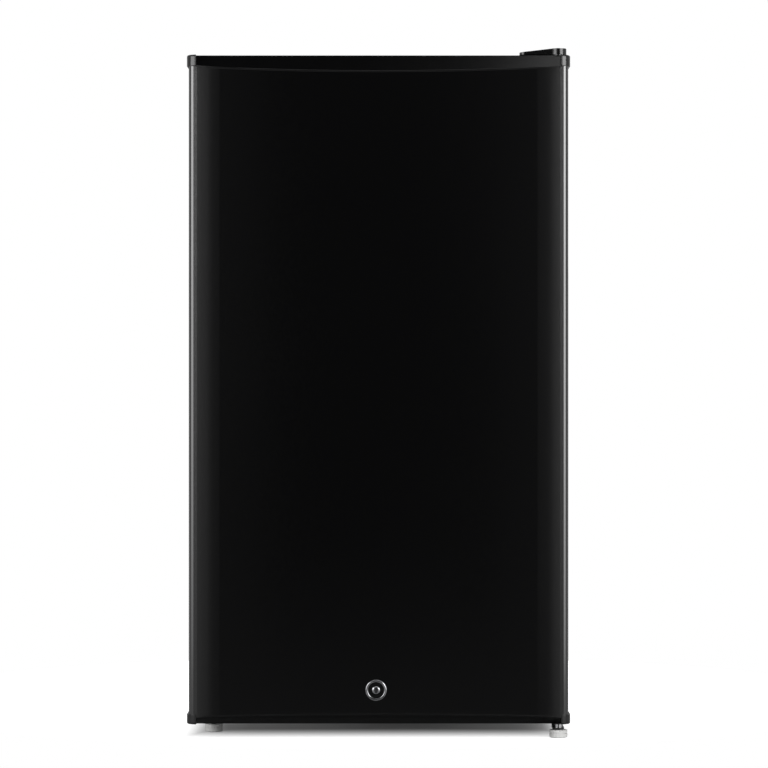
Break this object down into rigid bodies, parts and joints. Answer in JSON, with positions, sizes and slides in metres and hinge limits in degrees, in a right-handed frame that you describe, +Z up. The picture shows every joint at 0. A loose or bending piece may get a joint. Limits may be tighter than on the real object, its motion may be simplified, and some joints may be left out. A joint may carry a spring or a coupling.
{
  "type": "mini fridge",
  "caption": "Free-standing single-door mini fridge: black crowned door with end caps and a key lock, insulated cabinet with shelves and a chiller, and a wire condenser at the back.",
  "frame": {"origin": "on the floor, under the middle of the fridge's box", "axes": "+Z up, -Y out of the door's front, +X towards the hinge side, on the right as seen from the front"},
  "size_m": [0.472, 0.45, 0.85],
  "materials": {
    "door_black": "satin",
    "case_black": "satin",
    "cap_black": "satin",
    "machine_black": "satin",
    "galvanised": "satin",
    "steel": "satin",
    "chrome": "polished",
    "lock_dark": "gloss",
    "liner_white": "satin",
    "white_plastic": "satin",
    "dial_grey": "satin",
    "clear_plastic": "gloss",
    "flap_plastic": "gloss",
    "shelf_glass": "polished",
    "aluminium": "satin",
    "copper": "satin",
    "seal_grey": "matte",
    "magnet": "matte",
    "rubber_black": "matte",
    "nylon": "matte",
    "foot_grey": "satin",
    "foam": "matte"
  },
  "bodies": {
    "cabinet": {"outer_case": "case_black", "back_panel": "galvanised", "base_panel": "galvanised", "front_rail": "case_black", "inner_liner": "liner_white", "cabinet_foam": "foam", "compressor_deck": "galvanised", "rear_feet": "foot_grey", "upper_hinge_plate": "steel", "lower_hinge_bracket": "machine_black", "hinge_pins": "steel", "screws": "steel", "hinge_cover": "cap_black", "lock_keeper": "steel", "evaporator": "aluminium", "evaporator_hangers": "white_plastic", "chiller_frame": "white_plastic", "thermostat_housing": "white_plastic", "thermostat_switch": "rubber_black", "sensing_tube": "copper", "left_foot_stud": "machine_black", "compressor": "machine_black", "compressor_grommets": "rubber_black", "compressor_bolts": "steel", "relay_cover": "cap_black", "discharge_tube": "copper", "condenser_tube": "machine_black", "condenser_wires": "machine_black", "condenser_clips": "cap_black", "filter_drier": "copper", "capillary_tube": "copper", "suction_tube": "copper", "line_grommets": "rubber_black", "cord_gland": "rubber_black"},
    "door": {"door_panel": "door_black", "door_top_cap": "cap_black", "door_bottom_cap": "cap_black", "door_liner": "liner_white", "door_foam": "foam", "door_grip": "cap_black", "door_gasket": "seal_grey", "seal_magnets": "magnet", "lock_bezel": "chrome", "lock_barrel": "lock_dark", "lock_nut": "steel", "hinge_bushes": "nylon"},
    "lock": {"lock_plug": "chrome", "lock_cam": "steel"},
    "lower_rack": {"lower_rack": "clear_plastic"},
    "middle_rack": {"middle_rack": "clear_plastic"},
    "upper_rack": {"upper_rack": "clear_plastic"},
    "lower_shelf": {"lower_shelf_glass": "shelf_glass", "lower_shelf_trims": "white_plastic"},
    "upper_shelf": {"upper_shelf_glass": "shelf_glass", "upper_shelf_trims": "white_plastic"},
    "chiller_flap": {"chiller_flap": "flap_plastic"},
    "drip_tray": {"drip_tray": "clear_plastic"},
    "thermostat_dial": {"thermostat_knob": "dial_grey"},
    "left_foot": {"front_left_foot": "foot_grey"},
    "right_foot": {"front_right_foot": "foot_grey"}
  },
  "joints": [
    {"name": "door_swing", "type": "hinge", "parent": "cabinet", "child": "door", "pos_m": [0.222, -0.194, 0.018], "axis": [0, 0, 1], "range_deg": [0, 120]},
    {"name": "lock_turn", "type": "hinge", "parent": "door", "child": "lock", "pos_m": [-0.003, -0.225, 0.0608], "axis": [0, -1, 0], "range_deg": [0, 90]},
    {"name": "lower_rack_lift", "type": "slide", "parent": "door", "child": "lower_rack", "axis": [0, 0, 1], "range_m": [0, 0.025]},
    {"name": "middle_rack_lift", "type": "slide", "parent": "door", "child": "middle_rack", "axis": [0, 0, 1], "range_m": [0, 0.025]},
    {"name": "upper_rack_lift", "type": "slide", "parent": "door", "child": "upper_rack", "axis": [0, 0, 1], "range_m": [0, 0.025]},
    {"name": "lower_shelf_slide", "type": "slide", "parent": "cabinet", "child": "lower_shelf", "axis": [0, -1, 0], "range_m": [0, 0.05]},
    {"name": "upper_shelf_slide", "type": "slide", "parent": "cabinet", "child": "upper_shelf", "axis": [0, -1, 0], "range_m": [0, 0.05]},
    {"name": "flap_swing", "type": "hinge", "parent": "cabinet", "child": "chiller_flap", "pos_m": [-0.02, -0.0691, 0.78], "axis": [-1, 0, 0], "range_deg": [0, 75]},
    {"name": "drip_tray_slide", "type": "slide", "parent": "cabinet", "child": "drip_tray", "axis": [0, -1, 0], "range_m": [0, 0.08]},
    {"name": "dial_turn", "type": "hinge", "parent": "cabinet", "child": "thermostat_dial", "pos_m": [0.165, -0.03, 0.7495], "axis": [0, 1, 0], "range_deg": [0, 300]},
    {"name": "left_foot_screw", "type": "slide", "parent": "cabinet", "child": "left_foot", "axis": [0, 0, -1], "range_m": [0, 0.005]},
    {"name": "right_foot_screw", "type": "slide", "parent": "cabinet", "child": "right_foot", "axis": [0, 0, -1], "range_m": [0, 0.005]}
  ]
}
